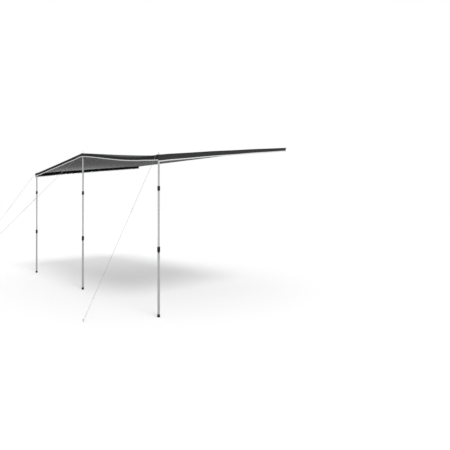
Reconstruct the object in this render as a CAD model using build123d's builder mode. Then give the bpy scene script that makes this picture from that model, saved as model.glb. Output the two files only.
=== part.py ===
from build123d import *
import math
import os

os.makedirs("parts", exist_ok=True)

# The row frame: the keder bead's middle is the origin, X runs along the keder towards the near pole,
# Y from the poles back to the keder, and Z up. Everything is in millimetres.
keder_height = 2380.0  # from the ground up to the keder bead
pole_spacing = 2370.0  # from each pole to the next
pin_reach = 2470.0  # from the keder bead out to the poles
cloth_margin = 25.0  # from the poles out to the roof's front and side edges

# Heights of the roof's front edge above the ground, and how far the cloth hangs between the poles.
near_height = 2085.0
peak_height = 2307.0
far_height = 2090.0
near_sag = 34.0
far_sag = 4.0
near_sag_scale = 27 / 4  # brings share * (1 - share)**2, the near half's sag, to one at its deepest
far_sag_scale = 4  # the same for share * (1 - share), the far half's
corner_flat = 40.0  # the eyelets keep the cloth flat this far inwards of the outer poles
peak_flat = 30.0  # and this far each side of the middle pole
bays = 8  # panels of each half of the roof

# Cloth and what is sewn to it.
cloth = 1.6
seam_gap = 0.3  # left between layers that lie on each other
front_drop = 60.0  # from the roof's top to the front valance's lower edge
near_corner_drop = 76.0  # the same at the near corner, where the front valance deepens
near_corner_run = 340.0  # how far from that corner it begins to
side_front_drops = {"near": 92.0, "far": 80.0}  # the same on the side valances, at their front ends
side_rear_drop = 60.0  # and at their rear ends
side_start = 3.9  # from the roof's front edge back to the side valances
side_end = 20.0  # from the keder bead out to the side valances' rear ends
binding_height = 14.0
binding_wall = 0.8
patch_width = 44.0
patch_length = 66.0
patch_shift = 11.0  # the patches reach further inwards than outwards
patch_thick = 1.4
patch_corner = 8.0

# Keder: a round bead, held in a groove, in a tape whose flange is sewn edge to edge with the roof.
bead_radius = 2.75
tape_wall = 0.7
tape_flange_end = 16.0  # from the bead's centre to the flange's sewn edge
tape_flange_thick = 1.6
keder_inset = 10.0  # the keder ends this far short of the roof's side edges

# Eyelets, of which each pole's spike goes through one.
eyelet_bore = 8.5
eyelet_wall = 0.8
eyelet_flange = 14.0
eyelet_plate = 1.0
hole_reach = 6.0  # how far the cloth's holes are cut above and below its top

# Poles: three telescoping tubes each. The radii are the tubes' outsides.
tube_wall = 1.0
upper_radius = 12.5
middle_radius = 14.0
lower_radius = 15.5
upper_length = 860.0
middle_length = 885.0
running_gap = 0.05  # radial, of a tube in its collar and of a bush in its tube
fit_gap = 0.2  # of what is pushed on or in for good
bush_head = 12.0
bush_shank = 20.0
spike_radius = 4.0
spike_above = 44.0  # how far the spike stands out of the roof
spike_point = 9.0
spike_tip = 1.3  # the radius that the point is blunted to
plug_rim = 6.0
plug_shank = 24.0
dome_gap = 0.3

# Clamps: heights above the ground of the collars' lower and upper ends. Each pole is drawn out so that
# its upper clamp sits at its own height.
upper_collars = {"near": (1627.0, 1683.0), "mid": (1610.0, 1666.0), "far": (1662.0, 1718.0)}
lower_collar = (836.0, 904.0)
collar_wall = 3.5
collar_round = 1.2
upper_seat = 25.0  # from the upper collar's top down to the end of the tube that it sits on
lower_seat = 26.0  # the same for the lower collar
lever_turn = -30.0  # the way the levers face, in degrees from X
pin_offset = 2.5  # from the collar's outside out to the lever's pin
pin_below_top = 13.5
window_height = 15.6
window_depth = 9.0  # the window for the cam is cut this far in from the collar's outside
slot_height = 32.0
slot_reach = 14.0  # and the slot between its ears this far out
ear_gap = 14.6
ear_thick = 3.5
ear_radius = 4.5
ear_height = 16.0
bead_height = 5.0  # of the thicker bands round each collar's two ends
bead_wall = 0.8
lever_width = 14.0
cam_radius = 6.0
cam_shift = 1.4  # the cam's centre lies this far from the pin, towards the tube
lever_stand_off = 1.2
lever_thick = 4.0
lever_flare = 3.4  # how far its tip stands out
lever_flare_rise = 13.0  # from the tip up to where the flare starts
lever_round = 0.8
upper_lever_end = 9.0  # from the upper collar's lower end down to its lever's tip
lower_lever_end = 13.0  # the same for the lower collar
pin_radius = 1.5
pin_head_radius = 2.6
pin_head = 0.8
pin_gap = 0.05

# Feet.
foot_height = 37.0
foot_radius = 19.0
foot_neck = 17.7
foot_floor = 5.0
foot_rim = 4.0
foot_flare = 16.0
foot_groove = 1.0  # half the height and the depth of the grooves round the foot's neck
foot_groove_levels = (21.0, 26.0, 31.0)

# Guy ropes, their runners and pegs.
rope_radius = 1.5
eye_radius = 10.5  # of the loop over the spike, to the rope's middle
knot_radius = 3.0
neck_radius = 1.35  # of the short neck between the loop and its knot
edge_bend = 9.0  # radius of the rope's bend over the roof's edge
peg_bend = 4.3  # radius of its turns round the peg
strand_gap = 9.6  # between the two strands that leave the peg
runner_length = 22.0
runner_width = 11.0
runner_thick = 5.0
runner_hole = 1.8
peg_radius = 2.5
peg_depth = 170.0
peg_stand = 30.0
peg_hook = 13.0
peg_hook_drop = 13.0
peg_hook_bend = 6.2

ground = -keder_height
front_reach = pin_reach + cloth_margin
side_reach = pole_spacing + cloth_margin
sewn_edge = tape_flange_end + seam_gap
sewn_top = cloth / 2

# Each rope's points: out of its knot, over the roof's edge, down one side of the peg, up the other, and
# the tail's end above the runner. The last number is how far along from the peg the runner sits.
rope_routes = {
    "near": (
        [
            (2360.8, -2489.7, -290.9),
            (2355.7, -2498.6, -291.8),
            (1952.3, -3296.1, -2376.1),
            (1943.7, -3291.7, -2376.1),
            (2213.2, -2758.9, -983.7),
        ],
        1470.0,
    ),
    "mid": (
        [
            (-3.3, -2490.2, -69.3),
            (-4.6, -2498.4, -69.6),
            (-346.1, -4596.0, -2371.8),
            (-355.6, -4594.5, -2371.8),
            (-128.3, -3198.6, -839.8),
        ],
        2040.0,
    ),
    "far": (
        [
            (-2375.2, -2491.2, -286.1),
            (-2377.6, -2499.2, -286.9),
            (-2736.6, -3846.0, -2373.3),
            (-2745.9, -3843.5, -2373.3),
            (-2506.2, -2944.4, -980.5),
        ],
        1630.0,
    ),
}
peg_places = {"near": (1950.0, -3290.0), "mid": (-350.0, -4590.0), "far": (-2740.0, -3840.0)}
pole_places = {"near": pole_spacing, "mid": 0.0, "far": -pole_spacing}


def front_level(x):
    """The roof's top at its front edge: a straight rise to the peak, less the sag of that half."""
    run = pole_spacing - corner_flat - peak_flat
    share = min(max((pole_spacing - corner_flat - abs(x)) / run, 0.0), 1.0)
    if x > 0:
        end = near_height
        sag = near_sag * near_sag_scale * share * (1 - share) ** 2
    else:
        end = far_height
        sag = far_sag * far_sag_scale * share * (1 - share)
    return end + (peak_height - end) * share - sag - keder_height


def roof_level(x, y):
    """The roof's top: straight lines from the sewn edge down to the front edge."""
    share = (-y - sewn_edge) / (front_reach - sewn_edge)
    return sewn_top + (front_level(x) - sewn_top) * share


def stations():
    """Where the roof's panels meet, from the far side edge to the near one."""
    run = pole_spacing - corner_flat - peak_flat
    half = [peak_flat + run * i / bays for i in range(bays + 1)] + [side_reach]
    return [-x for x in reversed(half)] + half


# How the eyelets sit on the sloping roof. The dome under each one turns about a point on the pole's
# axis, and touches the eyelet's lower rim but for its gap.
stack_below = cloth + seam_gap + patch_thick + seam_gap + eyelet_plate
stack_above = seam_gap + eyelet_plate
dome_below = stack_below + math.sqrt((upper_radius + dome_gap) ** 2 - eyelet_bore**2)


def slope_at(x):
    """The roof's fall towards its front edge, in radians."""
    return math.atan2(sewn_top - front_level(x), front_reach - sewn_edge)


def seat_plane(x):
    """The plane of the roof's top at a pole's eyelet, with X along the keder."""
    slope = slope_at(x)
    y = -pin_reach - dome_below * math.sin(slope)
    normal = (0, -math.sin(slope), math.cos(slope))
    return Plane(origin=(x, y, roof_level(x, y)), x_dir=(1, 0, 0), z_dir=normal)


def pivot_level(x):
    """The height of the point that a pole tilts about."""
    seat = seat_plane(x)
    return seat.origin.Z - dome_below * math.cos(slope_at(x))


def upright(x, level=0.0, turn=0.0):
    """A vertical drawing plane through a pole's axis, its X turned from the keder's way and its Y up."""
    c = math.cos(math.radians(turn))
    s = math.sin(math.radians(turn))
    return Plane(origin=(x, -pin_reach, level), x_dir=(c, s, 0), z_dir=(s, -c, 0))


def pole_axis(x):
    return Axis((x, -pin_reach, 0), (0, 0, 1))


# Roof sheet: one ruled panel after another, with a hole for each eyelet.
with BuildPart() as roof_sheet:
    for x in stations():
        with BuildSketch(Plane.YZ.offset(x)):
            with BuildLine():
                Polyline(
                    (-sewn_edge, sewn_top),
                    (-front_reach, front_level(x)),
                    (-front_reach, front_level(x) - cloth),
                    (-sewn_edge, sewn_top - cloth),
                    close=True,
                )
            make_face()
    loft(ruled=True)
    for x in pole_places.values():
        with BuildSketch(seat_plane(x)):
            Circle(eyelet_bore + eyelet_wall + seam_gap)
        extrude(amount=hole_reach, both=True, mode=Mode.SUBTRACT)
roof_sheet.part.label = "roof_sheet"
export_step(roof_sheet.part, "parts/roof_sheet.step")

def valance_drop(x):
    """How far the front valance reaches down: even, and straight down to a deeper near corner."""
    share = min(max((x - (side_reach - near_corner_run)) / near_corner_run, 0.0), 1.0)
    return front_drop + (near_corner_drop - front_drop) * share


# Front valance: a strip of the cloth that hangs from the roof's front edge.
binding_step = seam_gap + binding_wall
with BuildPart() as front_valance:
    for x in stations():
        top = front_level(x) - cloth - seam_gap
        bottom = front_level(x) - valance_drop(x) + binding_step
        with BuildSketch(Plane.YZ.offset(x)):
            with BuildLine():
                Polyline(
                    (-front_reach, top),
                    (-front_reach, bottom),
                    (-front_reach + cloth, bottom),
                    (-front_reach + cloth, top),
                    close=True,
                )
            make_face()
    loft(ruled=True)
front_valance.part.label = "front_valance"
export_step(front_valance.part, "parts/front_valance.step")


def binding_outline(face, inward, bottom):
    """A U round a valance's lower edge. face is the valance's outer face, inward the sign to its back."""
    top = bottom + binding_height
    back = face + inward * cloth
    floor = bottom + binding_wall
    return [
        (face - inward * binding_step, top),
        (face - inward * binding_step, bottom),
        (back + inward * binding_step, bottom),
        (back + inward * binding_step, top),
        (back + inward * seam_gap, top),
        (back + inward * seam_gap, floor),
        (face - inward * seam_gap, floor),
        (face - inward * seam_gap, top),
    ]


# Front binding: the pale tape folded round the front valance's lower edge.
with BuildPart() as front_binding:
    for x in stations():
        with BuildSketch(Plane.YZ.offset(x)):
            with BuildLine():
                Polyline(
                    *binding_outline(-front_reach, 1, front_level(x) - valance_drop(x)), close=True
                )
            make_face()
    loft(ruled=True)
front_binding.part.label = "front_binding"
export_step(front_binding.part, "parts/front_binding.step")

# Side valances and their bindings, deeper at the front than at the keder.
for name, side in (("near", 1), ("far", -1)):
    face = side * side_reach
    side_ends = (
        (-front_reach + side_start, side_front_drops[name]),
        (-side_end, side_rear_drop),
    )
    with BuildPart() as side_valance:
        for y, drop in side_ends:
            top = roof_level(face, y) - cloth - seam_gap
            bottom = roof_level(face, y) - drop + binding_step
            with BuildSketch(Plane.XZ.offset(-y)):
                with BuildLine():
                    Polyline(
                        (face, top),
                        (face, bottom),
                        (face - side * cloth, bottom),
                        (face - side * cloth, top),
                        close=True,
                    )
                make_face()
        loft(ruled=True)
    side_valance.part.label = f"{name}_valance"
    export_step(side_valance.part, f"parts/{name}_valance.step")

    with BuildPart() as side_binding:
        for y, drop in side_ends:
            with BuildSketch(Plane.XZ.offset(-y)):
                with BuildLine():
                    Polyline(
                        *binding_outline(face, -side, roof_level(face, y) - drop), close=True
                    )
                make_face()
        loft(ruled=True)
    side_binding.part.label = f"{name}_binding"
    export_step(side_binding.part, f"parts/{name}_binding.step")

# Keder bead: a round cord that slides along a groove and holds the canopy up at the back.
keder_length = 2 * (side_reach - keder_inset)
with BuildPart() as keder_bead:
    with BuildSketch(Plane.YZ.offset(-keder_length / 2)):
        Circle(bead_radius)
    extrude(amount=keder_length)
keder_bead.part.label = "keder_bead"
export_step(keder_bead.part, "parts/keder_bead.step")

# Keder tape: wrapped round the bead, its flange sewn to the roof.
tape_bore = bead_radius + seam_gap
tape_radius = tape_bore + tape_wall
with BuildPart() as keder_tape:
    with BuildSketch(Plane.YZ.offset(-keder_length / 2)):
        Circle(tape_radius)
        with Locations((-tape_flange_end / 2, 0)):
            Rectangle(tape_flange_end, tape_flange_thick)
        Circle(tape_bore, mode=Mode.SUBTRACT)
    extrude(amount=keder_length)
keder_tape.part.label = "keder_tape"
export_step(keder_tape.part, "parts/keder_tape.step")

# Patches under the roof, which spread each eyelet's pull.
with BuildPart() as eyelet_patches:
    for x in pole_places.values():
        with BuildSketch(seat_plane(x).offset(-cloth - seam_gap)):
            with Locations((0, patch_shift)):
                RectangleRounded(patch_width, patch_length, patch_corner)
            Circle(eyelet_bore + eyelet_wall + seam_gap, mode=Mode.SUBTRACT)
        extrude(amount=-patch_thick)
eyelet_patches.part.label = "eyelet_patches"
export_step(eyelet_patches.part, "parts/eyelet_patches.step")

# Eyelets: a barrel with a flange above the roof and one under the patch.
with BuildPart() as eyelets:
    for x in pole_places.values():
        seat = seat_plane(x)
        with BuildSketch(Plane(origin=seat.origin, x_dir=seat.x_dir, z_dir=-seat.y_dir)):
            with BuildLine():
                Polyline(
                    (eyelet_bore, stack_above),
                    (eyelet_flange, stack_above),
                    (eyelet_flange, seam_gap),
                    (eyelet_bore + eyelet_wall, seam_gap),
                    (eyelet_bore + eyelet_wall, eyelet_plate - stack_below),
                    (eyelet_flange, eyelet_plate - stack_below),
                    (eyelet_flange, -stack_below),
                    (eyelet_bore, -stack_below),
                    close=True,
                )
            make_face()
        revolve(axis=Axis(seat.origin, seat.z_dir))
eyelets.part.label = "eyelets"
export_step(eyelets.part, "parts/eyelets.step")


def make_tube(name, x, radius, bottom, top):
    """A round tube on a pole's axis, between two levels."""
    with BuildPart() as tube:
        with BuildSketch(Plane.XY.offset(bottom)):
            with Locations((x, -pin_reach)):
                Circle(radius)
                Circle(radius - tube_wall, mode=Mode.SUBTRACT)
        extrude(amount=top - bottom)
    tube.part.label = name
    export_step(tube.part, f"parts/{name}.step")


def make_bush(name, x, tube_radius, guide_radius, tube_end):
    """A plug in a tube's lower end, whose head slides in the next tube."""
    shank = tube_radius - tube_wall - running_gap
    head = guide_radius - tube_wall - running_gap
    with BuildPart() as bush:
        with BuildSketch(Plane.XY.offset(tube_end - fit_gap)):
            with Locations((x, -pin_reach)):
                Circle(head)
        extrude(amount=-bush_head)
        with BuildSketch(Plane.XY.offset(tube_end - fit_gap)):
            with Locations((x, -pin_reach)):
                Circle(shank)
        extrude(amount=bush_shank)
    bush.part.label = name
    export_step(bush.part, f"parts/{name}.step")


def make_collar(name, x, tube_radius, slider_radius, bottom, top, shoulder):
    """A clamp's collar, seated on one tube's end, with the next tube sliding through it."""
    outside = tube_radius + fit_gap + collar_wall
    pin_level = top - pin_below_top
    with BuildPart() as collar:
        with BuildSketch(Plane.XY.offset(bottom)):
            with Locations((x, -pin_reach)):
                Circle(outside)
        extrude(amount=top - bottom)
        for level in (bottom, top - bead_height):
            with BuildSketch(Plane.XY.offset(level)):
                with Locations((x, -pin_reach)):
                    Circle(outside + bead_wall)
            extrude(amount=bead_height)
        ends = collar.edges().filter_by(GeomType.CIRCLE).group_by(Axis.Z)
        fillet(ends[0] + ends[-1], collar_round)
        with BuildSketch(upright(x, pin_level, lever_turn)):
            with Locations(((slider_radius + outside) / 2, 0)):
                Rectangle(outside - slider_radius, ear_height)
            with Locations((outside + pin_offset, 0)):
                Circle(ear_radius)
            make_hull()
        extrude(amount=ear_gap / 2 + ear_thick, both=True)
        with BuildSketch(upright(x, pin_level, lever_turn)):
            with Locations((outside - window_depth, 0)):
                Rectangle(
                    window_depth + slot_reach, window_height, align=(Align.MIN, Align.CENTER)
                )
            with Locations((outside, 0)):
                Rectangle(slot_reach, slot_height, align=(Align.MIN, Align.CENTER))
        extrude(amount=ear_gap / 2, both=True, mode=Mode.SUBTRACT)
        with BuildSketch(upright(x, pin_level, lever_turn)):
            with Locations((outside + pin_offset, 0)):
                Circle(pin_radius + pin_gap)
        extrude(amount=ear_gap + ear_thick, both=True, mode=Mode.SUBTRACT)
        with BuildSketch(Plane.XY.offset(bottom)):
            with Locations((x, -pin_reach)):
                Circle(slider_radius + running_gap)
        extrude(amount=top - bottom, mode=Mode.SUBTRACT)
        with BuildSketch(Plane.XY.offset(bottom)):
            with Locations((x, -pin_reach)):
                Circle(tube_radius + fit_gap)
        extrude(amount=shoulder - bottom, mode=Mode.SUBTRACT)
    collar.part.label = name
    export_step(collar.part, f"parts/{name}.step")


def make_lever(name, x, tube_radius, pin_level, tip):
    """A lever folded down on its collar, with the cam at its head that presses on the sliding tube."""
    outside = tube_radius + fit_gap + collar_wall
    pin_out = outside + pin_offset
    inner = outside + lever_stand_off
    with BuildPart() as lever:
        with BuildSketch(upright(x, pin_level, lever_turn)):
            with Locations((pin_out - cam_shift, 0)):
                Circle(cam_radius)
            with BuildLine():
                Polyline(
                    (inner, 0),
                    (inner, tip - pin_level + lever_thick),
                    (inner + lever_flare, tip - pin_level),
                    (inner + lever_flare + lever_thick, tip - pin_level),
                    (inner + lever_thick, tip - pin_level + lever_flare_rise),
                    (pin_out - cam_shift + cam_radius, 0),
                    close=True,
                )
            make_face()
        extrude(amount=lever_width / 2, both=True)
        fillet(lever.faces().sort_by(Axis.Z)[0].edges(), lever_round)
        with BuildSketch(upright(x, pin_level, lever_turn)):
            with Locations((pin_out, 0)):
                Circle(pin_radius + pin_gap)
        extrude(amount=lever_width, both=True, mode=Mode.SUBTRACT)
    lever.part.label = name
    export_step(lever.part, f"parts/{name}.step")


def make_lever_pin(name, x, tube_radius, pin_level):
    """The headed pin through a collar's ears and its lever."""
    pin_out = tube_radius + fit_gap + collar_wall + pin_offset
    across = ear_gap / 2 + ear_thick + pin_gap
    with BuildPart() as pin:
        with BuildSketch(upright(x, pin_level, lever_turn)):
            with Locations((pin_out, 0)):
                Circle(pin_radius)
        extrude(amount=across + pin_head, both=True)
        for end in (-1, 1):
            with BuildSketch(upright(x, pin_level, lever_turn).offset(end * across)):
                with Locations((pin_out, 0)):
                    Circle(pin_head_radius)
            extrude(amount=end * pin_head)
    pin.part.label = name
    export_step(pin.part, f"parts/{name}.step")


for name, x in pole_places.items():
    pivot = pivot_level(x)
    upper_top = pivot - plug_rim
    upper_bottom = upper_top - upper_length
    upper_low, upper_high = (ground + level for level in upper_collars[name])
    lower_low, lower_high = (ground + level for level in lower_collar)
    upper_shoulder = upper_high - upper_seat
    lower_shoulder = lower_high - lower_seat
    middle_top = upper_shoulder - seam_gap
    middle_bottom = middle_top - middle_length
    lower_top = lower_shoulder - seam_gap
    lower_bottom = ground + foot_floor + seam_gap

    # Spike plug: pushed into the upper tube, with a dome under the eyelet and the spike through it.
    spike_top = seat_plane(x).origin.Z + spike_above
    dome_top = pivot + math.sqrt(upper_radius**2 - spike_radius**2)
    bore = upper_radius - tube_wall - running_gap
    dome_middle = math.acos(spike_radius / upper_radius) / 2
    with BuildPart() as spike_plug:
        with BuildSketch(upright(x)):
            with BuildLine():
                Polyline(
                    (0, upper_top - plug_shank),
                    (bore, upper_top - plug_shank),
                    (bore, upper_top + fit_gap),
                    (upper_radius, upper_top + fit_gap),
                    (upper_radius, pivot),
                )
                ThreePointArc(
                    (upper_radius, pivot),
                    (
                        upper_radius * math.cos(dome_middle),
                        pivot + upper_radius * math.sin(dome_middle),
                    ),
                    (spike_radius, dome_top),
                )
                Polyline(
                    (spike_radius, dome_top),
                    (spike_radius, spike_top - spike_point),
                    (spike_tip, spike_top),
                    (0, spike_top),
                    (0, upper_top - plug_shank),
                )
            make_face()
        revolve(axis=pole_axis(x))
    spike_plug.part.label = f"{name}_spike_plug"
    export_step(spike_plug.part, f"parts/{name}_spike_plug.step")

    make_tube(f"{name}_upper_tube", x, upper_radius, upper_bottom, upper_top)
    make_bush(f"{name}_upper_bush", x, upper_radius, middle_radius, upper_bottom)
    make_tube(f"{name}_middle_tube", x, middle_radius, middle_bottom, middle_top)
    make_bush(f"{name}_middle_bush", x, middle_radius, lower_radius, middle_bottom)
    make_tube(f"{name}_lower_tube", x, lower_radius, lower_bottom, lower_top)
    make_collar(
        f"{name}_upper_clamp", x, middle_radius, upper_radius, upper_low, upper_high, upper_shoulder
    )
    make_collar(
        f"{name}_lower_clamp", x, lower_radius, middle_radius, lower_low, lower_high, lower_shoulder
    )
    upper_pin = upper_high - pin_below_top
    lower_pin = lower_high - pin_below_top
    make_lever(f"{name}_upper_lever", x, middle_radius, upper_pin, upper_low - upper_lever_end)
    make_lever(f"{name}_lower_lever", x, lower_radius, lower_pin, lower_low - lower_lever_end)
    make_lever_pin(f"{name}_upper_lever_pin", x, middle_radius, upper_pin)
    make_lever_pin(f"{name}_lower_lever_pin", x, lower_radius, lower_pin)

    # Foot: a flared rubber cup pushed onto the lower tube.
    cup = lower_radius + fit_gap
    groove_points = []
    for level in foot_groove_levels:
        groove_points += [
            (foot_neck, level - foot_groove),
            (foot_neck - foot_groove, level),
            (foot_neck, level + foot_groove),
        ]
    with BuildPart() as foot:
        with BuildSketch(upright(x, ground)):
            with BuildLine():
                Polyline(
                    (0, foot_floor),
                    (0, 0),
                    (foot_radius, 0),
                    (foot_radius, foot_rim),
                    (foot_neck, foot_flare),
                    *groove_points,
                    (foot_neck, foot_height),
                    (cup, foot_height),
                    (cup, foot_floor),
                    close=True,
                )
            make_face()
        revolve(axis=pole_axis(x))
    foot.part.label = f"{name}_foot"
    export_step(foot.part, f"parts/{name}_foot.step")


# Guy ropes: each from its knot over the roof's edge, round its peg and back up through its runner.
for name, (points, runner_way) in rope_routes.items():
    route = [Vector(*p) for p in points]
    radii = [edge_bend, peg_bend, peg_bend]
    with BuildPart() as guy_rope:
        with BuildLine() as route_line:
            FilletPolyline(*route, radius=radii)
        path = route_line.wire()
        with BuildSketch(Plane(origin=path @ 0, z_dir=path % 0)):
            Circle(rope_radius)
        sweep(path=path)
    length = path.length
    section = math.pi * rope_radius**2
    print(name, "rope: length", round(length, 1), "radii", radii)
    print(name, "rope: volume over section times length", round(guy_rope.part.volume / section / length, 5))
    guy_rope.part.label = f"{name}_guy_rope"
    export_step(guy_rope.part, f"parts/{name}_guy_rope.step")

    # Runner: a small two-holed block, square to the strands that go through it.
    along = (route[1] - route[2]).normalized()
    across = (route[2] - route[3]).normalized()
    middle = (route[2] + route[3]) / 2 + along * runner_way
    with BuildPart() as runner:
        with BuildSketch(Plane(origin=middle, x_dir=across, z_dir=along)):
            SlotOverall(runner_length, runner_width)
            for side in (-1, 1):
                with Locations((side * strand_gap / 2, 0)):
                    Circle(runner_hole, mode=Mode.SUBTRACT)
        extrude(amount=runner_thick / 2, both=True)
    runner.part.label = f"{name}_runner"
    export_step(runner.part, f"parts/{name}_runner.step")
    print(name, "runner: centre", middle, "slides along", along)

# Rope eyes: the loop over each spike, closed by its knot.
with BuildPart() as rope_eyes:
    for name, x in pole_places.items():
        route = [Vector(*p) for p in rope_routes[name][0]]
        knot = route[0] - (route[1] - route[0]).normalized() * (knot_radius + seam_gap)
        seat = seat_plane(x)
        eye_plane = seat.offset(stack_above + seam_gap + rope_radius)
        away = (knot - eye_plane.origin).normalized()
        bight = eye_plane.origin + away * eye_radius
        with BuildSketch(Plane(origin=eye_plane.origin, x_dir=seat.x_dir, z_dir=-seat.y_dir)):
            with Locations((eye_radius, 0)):
                Circle(rope_radius)
        revolve(axis=Axis(eye_plane.origin, seat.z_dir))
        with BuildSketch(Plane(origin=bight, z_dir=away)):
            Circle(neck_radius)
        extrude(amount=(knot - bight).length)
        with Locations(knot):
            Sphere(knot_radius)
rope_eyes.part.label = "rope_eyes"
export_step(rope_eyes.part, "parts/rope_eyes.step")

# Stopper knots on the tails' ends, which keep the runners on.
with BuildPart() as stopper_knots:
    for points, _ in rope_routes.values():
        tail = Vector(*points[4])
        way = (tail - Vector(*points[3])).normalized()
        with Locations(tail + way * (knot_radius + seam_gap)):
            Sphere(knot_radius)
stopper_knots.part.label = "stopper_knots"
export_step(stopper_knots.part, "parts/stopper_knots.step")

# Pegs: round steel pins driven into the ground, hooked over away from the canopy.
with BuildPart() as ground_pegs:
    for name, (x, y) in peg_places.items():
        out = Vector(x - pole_places[name], y + pin_reach, 0).normalized()
        foot_point = Vector(x, y, ground - peg_depth)
        head = Vector(x, y, ground + peg_stand)
        bent = head + out * peg_hook
        end = bent - Vector(0, 0, peg_hook_drop)
        with BuildLine() as peg_line:
            FilletPolyline(foot_point, head, bent, end, radius=[peg_hook_bend, peg_hook_bend])
        with BuildSketch(Plane(origin=foot_point, z_dir=(0, 0, 1))):
            Circle(peg_radius)
        sweep(path=peg_line.wire())
ground_pegs.part.label = "ground_pegs"
export_step(ground_pegs.part, "parts/ground_pegs.step")

# The points and travels that the joints need.
for name, x in pole_places.items():
    roof = roof_level(x, -pin_reach)
    bush_top = pivot_level(x) - plug_rim - upper_length
    drop = side_front_drops.get(name, front_drop)
    print(name, "pole: pivot", round(pivot_level(x), 2), "eyelet", seat_plane(x).origin)
    upper_low, upper_high = (ground + level for level in upper_collars[name])
    middle_bottom = upper_high - upper_seat - seam_gap - middle_length
    lower_high = ground + lower_collar[1]
    print(name, "pole: middle section up", round(roof - drop - upper_high, 1))
    print(name, "pole: middle section down", round(upper_high - upper_seat - bush_top, 1))
    print(name, "pole: lower section up", round(upper_low - upper_lever_end - lower_high, 1))
    print(name, "pole: lower section down", round(lower_high - lower_seat - middle_bottom, 1))
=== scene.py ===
import math

import bpy
import numpy as np
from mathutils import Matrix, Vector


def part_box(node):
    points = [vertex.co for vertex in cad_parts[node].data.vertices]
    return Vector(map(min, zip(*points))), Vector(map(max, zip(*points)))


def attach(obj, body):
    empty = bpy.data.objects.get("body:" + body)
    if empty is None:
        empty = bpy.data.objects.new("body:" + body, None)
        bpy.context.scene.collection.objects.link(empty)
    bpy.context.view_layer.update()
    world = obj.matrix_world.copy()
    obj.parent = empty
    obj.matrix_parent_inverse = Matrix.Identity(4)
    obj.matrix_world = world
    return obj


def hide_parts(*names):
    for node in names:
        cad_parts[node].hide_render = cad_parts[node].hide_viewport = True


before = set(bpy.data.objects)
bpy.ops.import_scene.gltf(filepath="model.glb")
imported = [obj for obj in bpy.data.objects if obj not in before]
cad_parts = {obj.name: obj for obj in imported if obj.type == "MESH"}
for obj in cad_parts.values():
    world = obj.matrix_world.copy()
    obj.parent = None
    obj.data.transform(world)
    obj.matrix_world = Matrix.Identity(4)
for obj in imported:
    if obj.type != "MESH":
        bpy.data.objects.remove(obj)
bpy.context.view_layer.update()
scene = bpy.context.scene

# Camera. It stands beside the near pole at a standing person's chest height and looks along the canopy.
# The small shift keeps the uprights upright, as in the photograph.
eye = (7.119, -5.493, -0.918)
heading = 48.81  # degrees from +Y towards -X
tilt = 0.28  # degrees above level
camera_data = bpy.data.cameras.new("camera")
camera_data.lens = 34.6
camera_data.sensor_width = 36
camera_data.shift_y = -0.053
camera_data.clip_end = 200
camera = bpy.data.objects.new("camera", camera_data)
camera.location = eye
camera.rotation_euler = (math.radians(90 + tilt), 0, math.radians(heading))
scene.collection.objects.link(camera)
scene.camera = camera
scene.view_settings.view_transform = "Standard"

# Studio floor. A pale plane at the ground's level, far wider than the canopy. Its own light, only for what
# looks at it, lifts it to the background's white and leaves the shadow.
ground = -2.38
floor_half = 60.0
floor_paint = (0.86, 0.86, 0.86, 1)
floor_lift = 0.24
white = (1, 1, 1, 1)
floor_mesh = bpy.data.meshes.new("studio_floor")
floor_corners = [
    (-floor_half, -floor_half, ground),
    (floor_half, -floor_half, ground),
    (floor_half, floor_half, ground),
    (-floor_half, floor_half, ground),
]
floor_mesh.from_pydata(floor_corners, [], [(0, 1, 2, 3)])
floor = bpy.data.objects.new("studio_floor", floor_mesh)
scene.collection.objects.link(floor)


def set_inputs(tree, made, inputs):
    """Sets each named input of a node to a value, or links it where it is given another node's output. A
    space in an input's name is written as an underscore, and i0 means the first input, whatever its name."""
    for key, value in inputs.items():
        numbered = key[0] == "i" and key[1:].isdigit()
        socket = made.inputs[int(key[1:]) if numbered else key.replace("_", " ")]
        if isinstance(value, bpy.types.NodeSocket):
            tree.links.new(value, socket)
        else:
            socket.default_value = value


def node(tree, kind, **inputs):
    """A new node with its inputs set or linked."""
    made = tree.nodes.new(kind)
    set_inputs(tree, made, inputs)
    return made


def maths(tree, operation, first, second=0.0):
    """The output of a Math node on two values or outputs."""
    made = node(tree, "ShaderNodeMath", i0=first, i1=second)
    made.operation = operation
    return made.outputs[0]


def looked_at(tree):
    """A value of 1 for the camera's rays, for mirrored rays and for rays through glass, and 0 for light."""
    rays = tree.nodes.new("ShaderNodeLightPath").outputs
    seen = maths(tree, "MAXIMUM", rays["Is Camera Ray"], rays["Is Glossy Ray"])
    return maths(tree, "MAXIMUM", seen, rays["Is Transmission Ray"])


floor_material = bpy.data.materials.new("studio_floor")
floor_material.use_nodes = True
tree = floor_material.node_tree
tree.nodes.clear()
paint = node(tree, "ShaderNodeBsdfDiffuse", Color=floor_paint)
lift = maths(tree, "MULTIPLY", looked_at(tree), floor_lift)
glow = node(tree, "ShaderNodeEmission", Color=white, Strength=lift)
together = node(tree, "ShaderNodeAddShader", i0=paint.outputs[0], i1=glow.outputs[0])
node(tree, "ShaderNodeOutputMaterial", Surface=together.outputs[0])
floor_mesh.materials.append(floor_material)

# Studio light. An even white surround, seen as plain white, one wide soft lamp high on the near pole's side,
# and two panels out of view: one low on that side, and one under the roof's far end that faces up.
surround_light = 0.62
world = bpy.data.worlds.new("studio")
scene.world = world
world.use_nodes = True
tree = world.node_tree
tree.nodes.clear()
level = node(tree, "ShaderNodeMapRange", Value=looked_at(tree), To_Min=surround_light, To_Max=1.0)
surround = node(tree, "ShaderNodeBackground", Color=white, Strength=level.outputs["Result"])
node(tree, "ShaderNodeOutputWorld", Surface=surround.outputs[0])


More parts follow.
